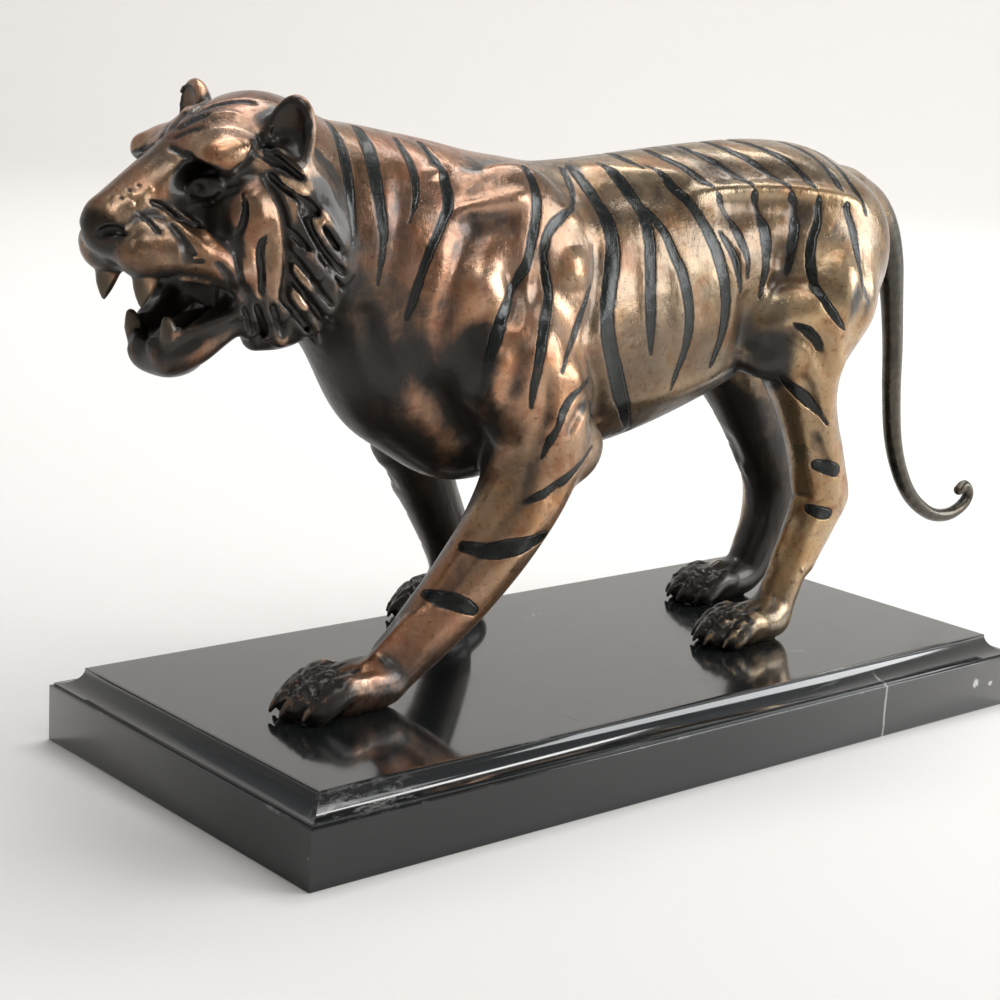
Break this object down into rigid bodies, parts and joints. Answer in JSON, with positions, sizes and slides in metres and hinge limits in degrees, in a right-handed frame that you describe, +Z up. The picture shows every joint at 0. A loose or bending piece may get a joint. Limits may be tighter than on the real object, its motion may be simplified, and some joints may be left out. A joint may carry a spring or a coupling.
{
  "type": "tiger figurine",
  "caption": "Snarling tiger in mid stride, cast in striped patinated bronze and bolted to a rectangular black marble plinth with a moulded edge.",
  "frame": {"origin": "centre of the plinth's underside", "axes": "+Z up; the animal walks towards -X, the plinth's length is along X, and its near long side in the picture is -Y"},
  "size_m": [0.4878, 0.1834, 0.2688],
  "materials": {
    "bronze": "brown patinated bronze, satin, rubbed golden on the high places, black-green engraved stripes",
    "marble": "polished black marble with a few fine white veins",
    "fixings": "zinc-plated steel"
  },
  "bodies": {
    "root": {"tiger_casting": "bronze", "marble_plinth": "marble", "bolt_near_fore": "fixings", "washer_near_fore": "fixings", "bolt_far_fore": "fixings", "washer_far_fore": "fixings", "bolt_near_hind": "fixings", "washer_near_hind": "fixings", "bolt_far_hind": "fixings", "washer_far_hind": "fixings"}
  },
  "joints": []
}
